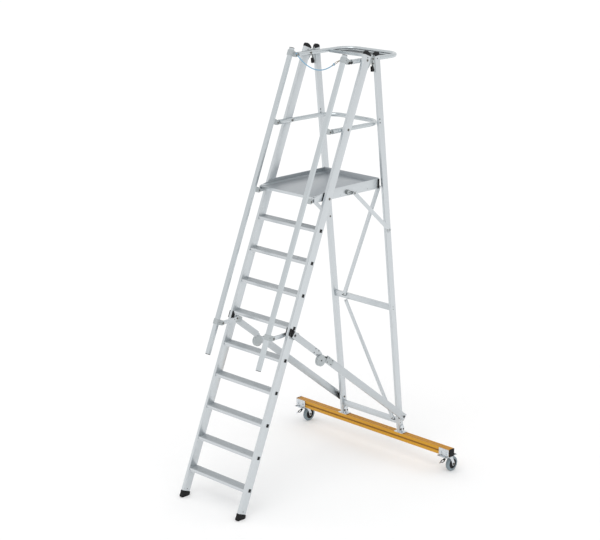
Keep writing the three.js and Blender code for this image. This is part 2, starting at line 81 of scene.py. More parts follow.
# --------------------------------------------------------------- materials
def lin(*c):
    return tuple((v / 255 / 12.92 if v / 255 <= 0.04045 else ((v / 255 + 0.055) / 1.055) ** 2.4) for v in c) + (1.0,)


def material(name, color, metallic, rough, grain=(220, 220, 6), rot=(0, 0, 0), bump=0.05, spread=0.05, blotch=1.6, rspread=0.08, dist=0.0006, coat=0.0, specks=0.0, ribs=None, sheen=0.5):
    """A procedural finish: stretched grain for colour, roughness and bump, and slow blotches of colour."""
    m = bpy.data.materials.new(name)
    m.use_nodes = True
    nt = m.node_tree
    nt.nodes.clear()
    out = nt.nodes.new("ShaderNodeOutputMaterial")
    sh = nt.nodes.new("ShaderNodeBsdfPrincipled")
    nt.links.new(sh.outputs[0], out.inputs[0])
    sh.inputs["Metallic"].default_value = metallic
    sh.inputs["Specular IOR Level"].default_value = sheen
    if coat:
        sh.inputs["Coat Weight"].default_value = coat
        sh.inputs["Coat Roughness"].default_value = 0.25
    tc = nt.nodes.new("ShaderNodeTexCoord")
    mp = nt.nodes.new("ShaderNodeMapping")
    mp.inputs["Rotation"].default_value = rot
    mp.inputs["Scale"].default_value = grain
    # turn first, then stretch, so that the grain follows the piece
    turn = nt.nodes.new("ShaderNodeMapping")
    turn.inputs["Rotation"].default_value = rot
    mp.inputs["Rotation"].default_value = (0, 0, 0)
    nt.links.new(tc.outputs["Object"], turn.inputs[0])
    nt.links.new(turn.outputs[0], mp.inputs[0])
    fine = nt.nodes.new("ShaderNodeTexNoise")
    fine.inputs["Scale"].default_value = 1.0
    fine.inputs["Detail"].default_value = 6.0
    fine.inputs["Roughness"].default_value = 0.6
    nt.links.new(mp.outputs[0], fine.inputs["Vector"])
    slow = nt.nodes.new("ShaderNodeTexNoise")
    slow.inputs["Scale"].default_value = blotch
    slow.inputs["Detail"].default_value = 4.0
    nt.links.new(turn.outputs[0], slow.inputs["Vector"])
    mix = nt.nodes.new("ShaderNodeMath"); mix.operation = "MULTIPLY_ADD"
    mix.inputs[1].default_value = 0.45
    nt.links.new(fine.outputs[0], mix.inputs[0])
    half = nt.nodes.new("ShaderNodeMath"); half.operation = "MULTIPLY"
    half.inputs[1].default_value = 0.55
    nt.links.new(slow.outputs[0], half.inputs[0])
    nt.links.new(half.outputs[0], mix.inputs[2])
    ramp = nt.nodes.new("ShaderNodeValToRGB")
    c = Vector(color[:3])
    ramp.color_ramp.elements[0].position, ramp.color_ramp.elements[1].position = 0.3, 0.7
    ramp.color_ramp.elements[0].color = tuple(c * (1 - spread)) + (1,)
    ramp.color_ramp.elements[1].color = tuple(min(1.0, v * (1 + spread)) for v in c) + (1,)
    nt.links.new(mix.outputs[0], ramp.inputs[0])
    color_out = ramp.outputs[0]
    if specks:                                    # small bright crystals or dark pits
        vor = nt.nodes.new("ShaderNodeTexVoronoi")
        vor.inputs["Scale"].default_value = specks
        nt.links.new(turn.outputs[0], vor.inputs["Vector"])
        sep = nt.nodes.new("ShaderNodeSeparateColor")
        nt.links.new(vor.outputs["Color"], sep.inputs[0])
        rr = nt.nodes.new("ShaderNodeMapRange")
        rr.inputs["To Min"].default_value, rr.inputs["To Max"].default_value = 0.9, 1.08
        nt.links.new(sep.outputs[0], rr.inputs["Value"])
        mul = nt.nodes.new("ShaderNodeVectorMath"); mul.operation = "SCALE"
        nt.links.new(color_out, mul.inputs[0]); nt.links.new(rr.outputs[0], mul.inputs["Scale"])
        color_out = mul.outputs[0]
    nt.links.new(color_out, sh.inputs["Base Color"])
    rg = nt.nodes.new("ShaderNodeMapRange")
    rg.inputs["To Min"].default_value, rg.inputs["To Max"].default_value = rough - rspread, rough + rspread
    nt.links.new(mix.outputs[0], rg.inputs["Value"])
    nt.links.new(rg.outputs[0], sh.inputs["Roughness"])
    bm_ = nt.nodes.new("ShaderNodeBump")
    bm_.inputs["Strength"].default_value = bump
    bm_.inputs["Distance"].default_value = dist
    height = fine.outputs[0]
    if ribs:                                      # straight ribs: (axis index, pitch in metres, strength)
        axis, pitch, share = ribs
        sx = nt.nodes.new("ShaderNodeSeparateXYZ")
        nt.links.new(tc.outputs["Object"], sx.inputs[0])
        k = nt.nodes.new("ShaderNodeMath"); k.operation = "MULTIPLY"; k.inputs[1].default_value = 2 * math.pi / pitch
        nt.links.new(sx.outputs[axis], k.inputs[0])
        sn = nt.nodes.new("ShaderNodeMath"); sn.operation = "SINE"
        nt.links.new(k.outputs[0], sn.inputs[0])
        ad = nt.nodes.new("ShaderNodeMath"); ad.operation = "MULTIPLY_ADD"; ad.inputs[1].default_value = share
        nt.links.new(sn.outputs[0], ad.inputs[0]); nt.links.new(fine.outputs[0], ad.inputs[2])
        height = ad.outputs[0]
    nt.links.new(height, bm_.inputs["Height"])
    nt.links.new(bm_.outputs[0], sh.inputs["Normal"])
    return m


STILE_ROT = (LEAN, 0, 0)
REAR_ROT = (-math.atan(REAR_LEAN), 0, 0)
M = {
    "alu_front": material("alu_front_stile", lin(206, 211, 214), 0.85, 0.30, grain=(260, 260, 3), rot=STILE_ROT, bump=0.02, spread=0.012, rspread=0.03),
    "alu_rear": material("alu_rear_stile", lin(205, 210, 213), 0.85, 0.30, grain=(260, 260, 3), rot=REAR_ROT, bump=0.02, spread=0.012, rspread=0.03),
    "alu_rail": material("alu_handrail", lin(199, 205, 208), 0.85, 0.30, grain=(280, 280, 3), rot=STILE_ROT, bump=0.02, spread=0.012, rspread=0.03),
    "alu_x": material("alu_cross", lin(203, 208, 211), 0.85, 0.30, grain=(3, 260, 260), bump=0.02, spread=0.014, rspread=0.03),
    "alu_y": material("alu_board", lin(205, 210, 213), 0.85, 0.30, grain=(260, 3, 260), bump=0.02, spread=0.014, rspread=0.03),
    # darker copy of the board aluminium for the boards' inner faces: painted shade inside the platform
    "alu_y_inside_shade": material("alu_board_inside_painted_shade", lin(160, 166, 170), 0.85, 0.34, grain=(260, 3, 260), bump=0.05, spread=0.05),
    "alu_tube": material("alu_tube", lin(197, 203, 206), 0.92, 0.24, grain=(60, 60, 60), bump=0.01, spread=0.03, rspread=0.04),
    "alu_spread": material("alu_spreader", lin(193, 198, 201), 0.85, 0.30, grain=(260, 4, 180), rot=(math.radians(-38.1), 0, 0), bump=0.02, spread=0.014, rspread=0.03),
    # tread tops: a darker copy of the lip aluminium, painted shade on the upward faces
    "tread": material("tread_top_painted_shade", lin(182, 187, 190), 0.75, 0.38, grain=(4, 300, 300), bump=0.12, spread=0.06),
    "tread_lip": material("tread_lip", lin(206, 210, 213), 0.85, 0.28, grain=(4, 300, 300), bump=0.05, spread=0.04, rspread=0.05),
    # deck top: darker than the board aluminium, painted shade on the upward face; the ribs are real
    "deck": material("deck_sheet_painted_shade", lin(176, 181, 185), 0.75, 0.36, grain=(5, 260, 260), bump=0.12, spread=0.06, ribs=(1, 0.011, 0.35)),
    "cast": material("cast_alu", lin(178, 184, 186), 0.6, 0.44, grain=(420, 420, 420), bump=0.16, spread=0.04, specks=520),
    "cast_dark": material("cast_dark", lin(140, 146, 148), 0.55, 0.46, grain=(420, 420, 420), bump=0.3, spread=0.07, specks=520),
    "zinc": material("zinc_steel", lin(212, 217, 221), 0.9, 0.25, grain=(110, 110, 110), bump=0.05, spread=0.05, specks=150),
    "bolt": material("bolt_steel", lin(112, 110, 105), 0.75, 0.36, grain=(300, 300, 300), bump=0.08, spread=0.1),
    "rivet": material("rivet_steel", lin(74, 75, 76), 0.5, 0.42, grain=(300, 300, 300), bump=0.08, spread=0.1),
    "knob": material("knob_steel", lin(132, 135, 136), 0.85, 0.33, grain=(300, 300, 300), bump=0.08, spread=0.1),
    "ochre": material("ochre_front", lin(206, 150, 36), 0.35, 0.38, grain=(3, 300, 300), bump=0.08, spread=0.05),
    # top face of the yellow beam painted darker and greyer than its front: painted shade and sky reflection
    "ochre_top_painted_shade": material("ochre_top_painted_shade", lin(196, 140, 62), 0.38, 0.38, grain=(3, 300, 300), bump=0.08, spread=0.06),
    # darker ochre in the beam's grooves: painted shade in the recesses
    "ochre_groove_shade": material("ochre_groove_painted_shade", lin(142, 98, 24), 0.2, 0.6, grain=(3, 300, 300), bump=0.08, spread=0.08),
    "black": material("black_plastic", lin(24, 25, 27), 0.0, 0.5, grain=(700, 700, 700), bump=0.25, spread=0.12, dist=0.0004, sheen=0.22),
    "rubber": material("foot_rubber", lin(24, 24, 25), 0.0, 0.72, grain=(500, 500, 500), bump=0.4, spread=0.15, dist=0.0005, sheen=0.25),
    "tyre": material("grey_tyre", lin(128, 142, 149), 0.0, 0.62, grain=(380, 380, 380), bump=0.3, spread=0.08, dist=0.0004),
    "hub": material("black_hub", lin(26, 28, 31), 0.0, 0.45, grain=(500, 500, 500), bump=0.2, spread=0.12, sheen=0.3),
    "rope": material("blue_rope", lin(128, 172, 200), 0.0, 0.75, grain=(900, 900, 900), bump=0.5, spread=0.16, dist=0.0005),
    "hook": material("hook_steel", lin(150, 140, 124), 0.8, 0.35, grain=(300, 300, 300), bump=0.08, spread=0.1),
    "mat": material("tray_mat", lin(52, 56, 60), 0.7, 0.24, grain=(200, 200, 200), bump=0.03, spread=0.05, rspread=0.04),
    # near-black discs and plates over holes and slots: painted shade inside them
    "dark": material("hole_painted_shade", lin(14, 14, 15), 0.0, 0.8, grain=(300, 300, 300), bump=0.1, spread=0.1, sheen=0.1),
}


# ----------------------------------------------------------- mesh building
def basis_of(axis):
    w = Vector(axis).normalized()
    u = Vector((0, 0, 1)).cross(w)
    if u.length < 1e-4:
        u = Vector((1, 0, 0))
    u.normalize()
    return u, w.cross(u), w


class Batch:
    """Small parts of one finish on one body, gathered in one mesh. Millimetres, in the drawing frame."""

    def __init__(self, name, body, mat, slot=None):
        self.name, self.body, self.mat, self.slot = name, body, mat, slot
        self.bm = bmesh.new()

    def faces(self, verts, faces, smooth=True):
        vs = [self.bm.verts.new(v) for v in verts]
        for f in faces:
            try:
                q = self.bm.faces.new([vs[i] for i in f])
                q.smooth = smooth
            except ValueError:
                pass
        return self

    def lathe(self, c, axis, prof, n=24, phase=0.5):
        """prof is (radius, height along the axis) from one end on the axis line to the other."""
        u, v, w = basis_of(axis)
        c = Vector(c)
        verts, faces, rings = [], [], []
        for r, h in prof:
            if r < 1e-6:
                rings.append([len(verts)])
                verts.append(c + w * h)
            else:
                rings.append(list(range(len(verts), len(verts) + n)))
                for i in range(n):
                    a = 2 * math.pi * (i + phase) / n
                    verts.append(c + w * h + u * (r * math.cos(a)) + v * (r * math.sin(a)))
        for a, b in zip(rings, rings[1:]):
            for i in range(n):
                j = (i + 1) % n
                if len(a) == 1 and len(b) == 1:
                    continue
                if len(a) == 1:
                    faces.append((a[0], b[i], b[j]))
                elif len(b) == 1:
                    faces.append((a[i], b[0], a[j]))
                else:
                    faces.append((a[i], b[i], b[j], a[j]))
        return self.faces(verts, faces)

    def bolt(self, c, axis, r=6.5, h=4.5, washer=True, kind="dome"):
        if washer:
            self.lathe(c, axis, [(0, -0.4), (r * 1.45, -0.4), (r * 1.5, 0.9), (r * 1.4, 1.2), (0, 1.2)], 24)
        b = 1.1 if washer else 0
        if kind == "hex":
            self.lathe(c, axis, [(0, b - 0.8), (r, b - 0.6), (r, b + h * 0.78), (r * 0.86, b + h), (0, b + h)], 6)
        else:
            self.lathe(c, axis, [(0, b - 0.8), (r, b - 0.6), (r, b + h * 0.25), (r * 0.86, b + h * 0.7), (r * 0.55, b + h * 0.96), (r * 0.42, b + h), (r * 0.40, b + h * 0.55), (0, b + h * 0.5)], 20)
        return self

    def prism(self, pts, lo, hi, plane="YZ", bev=0.8):
        """A straight block with eased edges: pts in the plane, run from lo to hi along the third axis."""
        def to(a, b, t):
            return (t, a, b) if plane == "YZ" else ((a, t, b) if plane == "XZ" else (a, b, t))
        n = len(pts)
        area = sum(pts[i][0] * pts[(i + 1) % n][1] - pts[(i + 1) % n][0] * pts[i][1] for i in range(n))
        q = list(pts) if area > 0 else list(reversed(pts))
        inner = []
        for i in range(n):
            p0, p1, p2 = Vector(q[i - 1]), Vector(q[i]), Vector(q[(i + 1) % n])
            d1, d2 = (p1 - p0), (p2 - p1)
            if d1.length < 1e-9 or d2.length < 1e-9:
                inner.append(tuple(p1)); continue
            d1.normalize(); d2.normalize()
            n1, n2 = Vector((-d1.y, d1.x)), Vector((-d2.y, d2.x))
            m = n1 + n2
            k = bev / max(0.35, (m.length ** 2) / 2)
            inner.append(tuple(p1 + m * k / 1.0 * 1.0))
        flip = plane == "XZ"
        loops = [(inner, lo), (q, lo + bev), (q, hi - bev), (inner, hi)]
        verts = [to(a, b, t) for ring, t in loops for a, b in ring]
        faces = [tuple(range(n))[::-1], tuple(range(3 * n, 4 * n))]
        for r in range(3):
            for i in range(n):
                j = (i + 1) % n
                faces.append((r * n + i, r * n + j, (r + 1) * n + j, (r + 1) * n + i))
        if flip:
            faces = [f[::-1] for f in faces]
        return self.faces(verts, faces, smooth=False)

    def box(self, x0, y0, z0, x1, y1, z1, bev=0.8):
        return self.prism([(x0, y0), (x1, y0), (x1, y1), (x0, y1)], z0, z1, "XY", bev)

    def slab(self, s0, s1, n0, n1, x0, x1, bev=0.8):
        """A block square to the front stiles: s along them, n behind them."""
        return self.prism([P(s0, n0), P(s0, n1), P(s1, n1), P(s1, n0)], x0, x1, "YZ", bev)

    def bar(self, p0, p1, x0, x1, half, bev=0.8):
        """A flat bar in a side plane, from p0 to p1 in (Y, Z), half deep each way."""
        d = Vector(p1) - Vector(p0)
        d.normalize()
        o = Vector((-d.y, d.x)) * half
        a, b = Vector(p0), Vector(p1)
        return self.prism([tuple(a - o), tuple(b - o), tuple(b + o), tuple(a + o)], x0, x1, "YZ", bev)

    def sweep(self, pts, radius, n=14, caps=True):
        pts = [Vector(p) for p in pts]
        verts, faces = [], []
        prev = None
        for i, p in enumerate(pts):
            a, b = pts[max(0, i - 1)], pts[min(len(pts) - 1, i + 1)]
            w = (b - a).normalized()
            if prev is None:
                u, v, _ = basis_of(w)
            else:
                u = prev - w * prev.dot(w)
                u.normalize()
                v = w.cross(u)
            prev = u
            r = radius(i / (len(pts) - 1)) if callable(radius) else radius
            for k in range(n):
                t = 2 * math.pi * k / n
                verts.append(p + u * (r * math.cos(t)) + v * (r * math.sin(t)))
        for i in range(len(pts) - 1):
            for k in range(n):
                j = (k + 1) % n
                faces.append((i * n + k, i * n + j, (i + 1) * n + j, (i + 1) * n + k))
        if caps:
            faces.append(tuple(range(n))[::-1])
            e = (len(pts) - 1) * n
            faces.append(tuple(range(e, e + n)))
        return self.faces(verts, faces)

    def make(self):
        bmesh.ops.recalc_face_normals(self.bm, faces=self.bm.faces)
        me = bpy.data.meshes.new(self.name)
        self.bm.to_mesh(me)
        self.bm.free()
        me.transform(Matrix.Translation((0, SY / 1000, 0)) @ Matrix.Scale(0.001, 4))
        mats = self.mat if isinstance(self.mat, (list, tuple)) else [self.mat]
        for m in mats:
            me.materials.append(M[m])
        me.set_sharp_from_angle(angle=math.radians(38))
        o = bpy.data.objects.new(self.name, me)
        bpy.context.scene.collection.objects.link(o)
        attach(o, self.body)
        return o


SIDES = (("left", -1), ("right", 1))

# --------------------------------------------- finishes on the CAD's pieces
FINISH = [
    ("stile_front", "alu_front", 1.4), ("stile_rear", "alu_rear", 1.2), ("stile_cap", "black", 2.2), ("foot", "rubber", 1.8),
    ("hinge_plate", "cast", 0.9), ("cross_bar", "alu_x", 1.0), ("diagonal", "alu_x", 0.8), ("traverse_beam", "ochre", 0.7), ("beam_cap", "black", 1.0),
    ("base_clamp", "zinc", 0.6), ("caster_bracket", "zinc", 0.7), ("caster_fork", "zinc", 0.6), ("brake_pedal", "black", 1.2),
    ("platform_side", "alu_y", 0.6), ("platform_deck", "deck", 0.5), ("strut", "alu_y", 0.6), ("tool_tray", "alu_tube", 0.6),
    ("lower_link", "alu_y", 0.9), ("handrail", "alu_rail", 0.8), ("spreader", "alu_spread", 1.0), ("mid_rail", "alu_tube", 0), ("top_rail", "alu_tube", 0),
    ("step", "tread", 0), ("caster_wheel", "tyre", 0), ("safety_rope", "rope", 0), ("rope_hook", "hook", 0),
]


def faces_to(o, extra, test):
    """Gives the faces whose centre passes the test the finish extra. The shape isn't touched."""
    me = o.data
    me.materials.append(M[extra])
    k = len(me.materials) - 1
    for p in me.polygons:
        c = p.center
        if test(c.x * 1000, c.y * 1000 - SY, c.z * 1000, p.normal):
            p.material_index = k


for name, o in nodes.items():
    mat, bev = next((m, b) for k, m, b in FINISH if name.startswith(k))
    me = o.data
    me.materials.clear()
    me.materials.append(M[mat])
    for p in me.polygons:
        p.material_index = 0
    a = me.attributes.get("custom_normal")
    if a:
        me.attributes.remove(a)
    me.shade_smooth()
    w = o.modifiers.new("weld", "WELD")
    w.merge_threshold = 0.00002
    if bev:
        b = o.modifiers.new("bevel", "BEVEL")
        b.width = bev / 1000
        b.segments = 2
        b.limit_method = "ANGLE"
        b.angle_limit = math.radians(35)
        b.use_clamp_overlap = True
    e = o.modifiers.new("split", "EDGE_SPLIT")
    e.split_angle = math.radians(38)

CL = []
for key in ("link", "plat", "mid", "top"):
    q = pin(PIV[key])
    CL.append(q[0] * TY + (q[1] - FIRST) * TZ)


def clamp_face(x, y, z, n):
    s, d = y * TY + (z - FIRST) * TZ, y * TZ - (z - FIRST) * TY
    near = min(range(4), key=lambda i: abs(s - CL[i]))
    off = abs(s - CL[near])
    if off > 24:
        return False
    return d > -199.5 or (near in (0, 3) and (off > 21.5 or abs(d + 210) > 11.5 or abs(abs(x) - RAIL_X) > 21))


for sd, sx in SIDES:
    faces_to(nodes[f"handrail_{sd}"], "cast", clamp_face)
    faces_to(nodes[f"spreader_upper_{sd}"], "cast", lambda x, y, z, n: math.hypot(y - 750.6, z - 1098.4) < 49)
    faces_to(nodes[f"spreader_lower_{sd}"], "cast", lambda x, y, z, n: math.hypot(y - 750.6, z - 1098.4) < 49)
    faces_to(nodes[f"platform_side_{sd}"], "knob", lambda x, y, z, n: abs(x) > 304.7)
    # inner faces of the side boards take the darker copy: painted shade
    faces_to(nodes[f"platform_side_{sd}"], "alu_y_inside_shade", lambda x, y, z, n, sx=sx: abs(x) < 302 and n.x * sx < -0.7)
# upward faces of the beam take the painted shade and sky reflection copy
faces_to(nodes["traverse_beam"], "ochre_top_painted_shade", lambda x, y, z, n: n.z > 0.5)
BEAM_Y, BEAM_Z, BEAM_TOP = 1722.05, 188.5, 221.0
# faces inside the grooves of the front and top take the groove colour: painted shade
faces_to(nodes["traverse_beam"], "ochre_groove_shade", lambda x, y, z, n: (1724.2 < y < BEAM_Y + 9 and abs(z - BEAM_Z) < 9 and abs(x) < 880.9) or (z < BEAM_TOP - 1.2 and z > BEAM_TOP - 9 and n.z > 0.5 and BEAM_Y + 3 < y < BEAM_Y + 57 and abs(x) < 880.9))
# the deck's front face takes the lighter aluminium; the darker top is painted shade
faces_to(nodes["platform_deck"], "alu_x", lambda x, y, z, n: n.y < -0.5 and z < 2401)

# ------------------------------------------------------------ ribbed treads
for k in range(9):
    y, z = k * GOING, FIRST + k * RISE
    t = Batch(f"tread_{k + 1}", "front_ladder", ["tread", "tread_lip"], "step_aluminium")
    z0, z1 = z - 8.5, z + 16.5
    top = []
    yy = y - 35.0
    while yy < y + 35:
        top += [(yy, z1 - 1.3), (yy + 0.5, z1), (yy + 3.4, z1), (yy + 3.9, z1 - 1.3)]
        yy += 5.9
    prof = [(y - 43, z0), (y + 40, z0), (y + 40, z1)] + [(y + 38.6, z1)] + list(reversed(top)) + [(y - 38.4, z1 - 0.9), (y - 40.8, z1 - 1.6), (y - 41.6, z1 - 3.4), (y - 42.4, z0 + 9), (y - 41.4, z0 + 8), (y - 41.6, z0 + 6.5), (y - 42.7, z0 + 6)]
    t.prism(prof, -(IN_W - 0.3), IN_W - 0.3, "YZ", 0.02)
    o = t.make()
    # front faces take the lighter lip finish; the rest keeps the darker tread top, which is painted shade
    for p in o.data.polygons:
        p.material_index = 1 if (p.normal.y < -0.55 and p.center.y * 1000 - SY < y - 38) else 0
    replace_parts(o, f"step_{k + 1}")

# --------------------------------------------------------- front ladder bits
plug = Batch("step_plugs", "front_ladder", "black", "black_plastic")
fb = Batch("front_bolts", "front_ladder", "bolt", "zinc_steel")
fd = Batch("front_hole_shade", "front_ladder", "dark", "black_plastic")
fcast = Batch("link_brackets", "front_ladder", "cast", "cast_aluminium")
fpad = Batch("link_pads", "front_ladder", "black", "black_plastic")
for sd, sx in SIDES:
    X = sx * HALF_W
    for k in range(9):
        s = k * 258.74
        a, b = sorted((X - sx * 1, X + sx * 1.7))
        plug.slab(s - 13.5, s + 13.5, -13.5, 13.5, a, b, 1.4)
    for s, n, r in ((3431.7, -1.8, 6.5), (2876.5, -2.2, 7), (2325.2, -1.6, 7)):
        fb.bolt((X, *P(s, n)), (sx, 0, 0), r, 4.0)
    fb.bolt((X, *P(-168, -9.4)), (sx, 0, 0), 4.2, 2.2, washer=False)
    for s, n in ((3431.7, -1.8), (2876.5, -2.2), (2325.2, -1.6), (-168, -9.4)):
        fb.bolt((sx * IN_W, *P(s, n)), (-sx, 0, 0), 5.5 if s > 0 else 4.0, 2.6, washer=s > 0)
    # dark discs on both faces of the stile over the hole: painted shade
    fd.lathe((X, *P(3452.6, -8)), (sx, 0, 0), [(0, -0.2), (4.6, -0.2), (4.6, 0.25), (0, 0.25)], 16)
    fd.lathe((sx * IN_W, *P(3452.6, -8)), (-sx, 0, 0), [(0, -0.2), (4.6, -0.2), (4.6, 0.25), (0, 0.25)], 16)
    # hinge line fasteners and the stop between the plates
    fb.bolt((sx * (HALF_W - 6.5), *P(3452, 31)), (sx, 0, 0), 3.6, 2.0, washer=False)
    fb.lathe((sx * (HALF_W - 0.5), 1345, 3403), (sx, 0, 0), [(0, -1), (8.5, -0.8), (8.5, 1.2), (7, 2.4), (0, 2.6)], 20)
    # bracket behind the stile that carries the low link and the spreader bar
    a, b = sorted((sx * (IN_W - 5.6), sx * (IN_W - 0.3)))
    fcast.prism([P(1213, 8), P(1213, 60), P(1222, 76), P(1256, 76), P(1263, 60), P(1263, 8)], a, b, "YZ", 0.9)
    a, b = sorted((sx * (HALF_W + 0.2), sx * (HALF_W + 3)))
    fcast.prism([P(1208, -22), P(1208, 60), P(1222, 74), P(1256, 74), P(1268, 60), P(1268, -22)], a, b, "YZ", 0.7)
    for q in ((461.3, 1349.6), (497.2, 1353.4)):
        fb.bolt((sx * (IN_W - 5.6), *q), (-sx, 0, 0), 4.6, 3.0)
    for s0, s1, n0, n1 in ((1232, 1288, -43, -31), (1224, 1284, -22, -6), (1222, 1276, 0, 12)):
        a, b = sorted((sx * (HALF_W + 2.8), sx * (HALF_W + 11.8)))
        fpad.prism([P(s0, n0), P(s0 - 4, n1), P(s1 - 3, n1), P(s1, n0)], a, b, "YZ", 1.0)
    a, b = sorted((sx * (IN_W - 10), sx * (IN_W - 0.4)))
    fpad.prism([P(1224, -47), P(1222, -20), P(1284, -20), P(1288, -47)], a, b, "YZ", 1.2)
    # knurled lip and pocket of each shoe
    for i in range(6):
        n0 = -40 + i * 11
        a, b = sorted((sx * (IN_W - 2.6), sx * (HALF_W + 2.6)))
        fpad.slab(-199, -191, n0, n0 + 5, a, b, 0.7)
for b in (plug, fb, fd, fcast, fpad):
    b.make()

# ------------------------------------------------------------ rear frame bits
rb = Batch("rear_bolts", "rear_frame", "bolt", "zinc_steel")
rd = Batch("rear_hole_shade", "rear_frame", "dark", "black_plastic")
rp = Batch("rear_pads", "rear_frame", "black", "black_plastic")
rz = Batch("base_hardware", "rear_frame", "zinc", "zinc_steel")
ra = Batch("rear_gussets", "rear_frame", "alu_x", "satin_aluminium")
for sd, sx in SIDES:
    X, XI = sx * HALF_W, sx * IN_W
    # dark discs over the holes on both faces of the rear stiles: painted shade
    rd.lathe((X, 1391.5, 3402.5), (sx, 0, 0), [(0, -0.2), (4.4, -0.2), (4.4, 0.25), (0, 0.25)], 16)
    rd.lathe((XI, 1391.5, 3402.5), (-sx, 0, 0), [(0, -0.2), (4.4, -0.2), (4.4, 0.25), (0, 0.25)], 16)
    for z in (2922, 2893):
        rd.lathe((X, rear_y(z, 10), z), (sx, 0, 0), [(0, -0.2), (5.4, -0.2), (5.0, 1.0), (0, 1.2)], 16)
        rd.lathe((XI, rear_y(z, 10), z), (-sx, 0, 0), [(0, -0.2), (5.4, -0.2), (5.0, 1.0), (0, 1.2)], 16)
    for z, d in ((2008, 28),):
        rb.bolt((XI, 1549, 2008), (-sx, 0, 0), 5.6, 3.6)
    rb.bolt((XI, 1735, 375), (-sx, 0, 0), 6.0, 3.8)
    for z in (1336, 322):
        for dz in (-11, 11):
            rb.bolt((X, rear_y(z + dz, 24), z + dz), (sx, 0, 0), 3.6, 1.8, washer=False)
    rb.bolt((X, rear_y(268, 46), 268), (sx, 0, 0), 4.4, 3.2)
    rb.bolt((XI, rear_y(268, 46), 268), (-sx, 0, 0), 4.4, 3.2)
    for u0, u1 in ((21.8, 14.9), (6.2, 2.7)):
        a, b = sorted((sx * (HALF_W - u0), sx * (HALF_W - u1)))
        rp.prism([(1335, 3344), (1352, 3345), (1362, 3306), (1339, 3302)], a, b, "YZ", 1.0)
    rb.bolt((sx * (HALF_W - 2.7), 1350, 3367), (sx, 0, 0), 4.4, 2.0)
    # stops for the platform board behind and the spreader spacer
    a, b = sorted((sx * (HALF_W + 0.2), sx * (HALF_W + 19.6)))
    rp.prism([(1704, 400), (1716, 412), (1716, 372), (1704, 356)], a, b, "YZ", 1.2)
    # clamp on the traverse
    for xx in (sx * (IN_W - 5.2), sx * (HALF_W + 5.2)):
        s = -1 if abs(xx) < 320 else 1
        rb.bolt((xx, 1735, 251), (sx * s, 0, 0), 7.2, 5.0, kind="hex")
        rb.bolt((xx, 1768, 247), (sx * s, 0, 0), 5.2, 3.6, kind="hex")
    for xx in (sx * (IN_W - 18), sx * (HALF_W + 18)):
        rz.lathe((xx, 1752, 226.7), (0, 0, 1), [(0, -0.3), (10, -0.3), (10.4, 1.0), (9.8, 1.6), (0, 1.6)], 24)
        rz.lathe((xx, 1752, 228), (0, 0, 1), [(0, -0.3), (7.6, 0), (7.6, 5.2), (6.6, 6.4), (0, 6.4)], 6)
        rz.lathe((xx, 1752, 234), (0, 0, 1), [(0, -0.3), (4, 0), (4, 8), (3.2, 9.2), (0, 9.2)], 14)
    # end of the traverse: ribs inside the cap's edge
    a, b = sorted((sx * 885.6, sx * 887.2))
    for i in range(5):
        rp.prism([(1727 + i * 11, 160), (1731 + i * 11, 160), (1731 + i * 11, 217), (1727 + i * 11, 217)], a, b, "YZ", 0.5)
    # caster bracket bolts
    for xx, zz in ((sx * 800, 184), (sx * 856, 184)):
        for yy, s in ((1716.6, -1), (1787.4, 1)):
            rz.bolt((xx, yy, zz), (0, s, 0), 8.6, 6.5, kind="hex")
            rz.lathe((xx, yy + s * 7, zz), (0, s, 0), [(0, -0.3), (4.6, 0), (4.6, 4.2), (3.8, 5), (0, 5)], 14)
    for yy in (1702, 1818):
        for xx in (sx * 792, sx * 864):
            rb.lathe((xx, yy, 155.6), (0, 0, 1), [(0, -0.3), (7, 0), (7, 3.6), (6, 4.6), (0, 4.6)], 6)
    # end plates of the diagonals: the list below is empty, so this loop adds nothing
for zc, xa, sgn in ():
    rb.bolt((xa - sgn * 16, rear_y(zc, 19.2), zc - (12 if zc in (2322, 1232) else -12)), (0, -1, -REAR_LEAN), 4.2, 2.6)
    rb.bolt((xa - sgn * 16, rear_y(zc, 30.8), zc - (12 if zc in (2322, 1232) else -12)), (0, 1, REAR_LEAN), 4.2, 2.6)
for xx, zz in ((276, 2356), (-196, 1352), (-181, 1292), (268, 342)):
    rb.bolt((xx, rear_y(zz, 1.5), zz), (0, -1, -REAR_LEAN), 4.6, 2.6, washer=False)
for xx, zz in ((-201, 1340.5), (273, 330.5)):     # dark ends of the flattened tubes
    rp.prism([(xx - 19, zz - 3), (xx + 17, zz - 3), (xx + 17, zz + 2.6), (xx - 19, zz + 2.6)], rear_y(zz, 0.4), rear_y(zz, 11.6), "XZ", 0.6)
for b in (rb, rd, rp, rz):
    b.make()
ra.bm.free()

